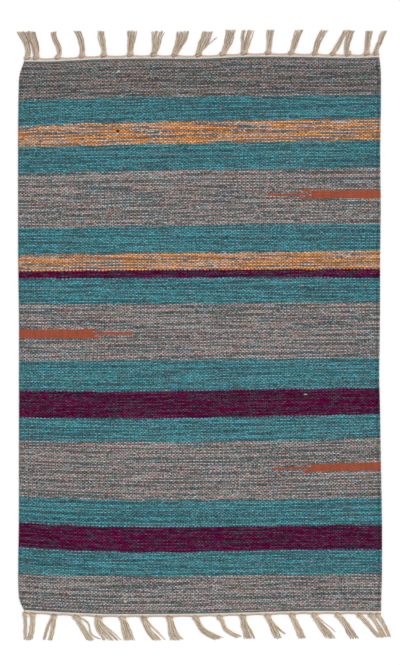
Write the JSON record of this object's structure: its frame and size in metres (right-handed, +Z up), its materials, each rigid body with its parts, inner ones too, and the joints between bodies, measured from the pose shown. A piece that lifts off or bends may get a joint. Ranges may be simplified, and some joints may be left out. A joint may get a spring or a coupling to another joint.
{
  "type": "kilim rug",
  "caption": "Flat-woven kilim rug lying flat: a striped field with drawn-in corners, and at each end a cream heading with knotted tassels.",
  "frame": {"origin": "middle of the outline of the rug and its tassels, on the floor under it", "axes": "+X across the rug along the wefts, +Y along the warps towards the upper fringe, +Z up out of the face of the cloth"},
  "size_m": [0.6204, 1.0198, 0.0058],
  "materials": {
    "striped_weave": "weft-faced flat weave in twisted two-colour yarns, matt",
    "cream_cotton": "undyed cotton warp yarn, knotted, matt"
  },
  "bodies": {
    "root": {"woven_field": "striped_weave", "upper_fringe": "cream_cotton", "lower_fringe": "cream_cotton"}
  },
  "joints": []
}
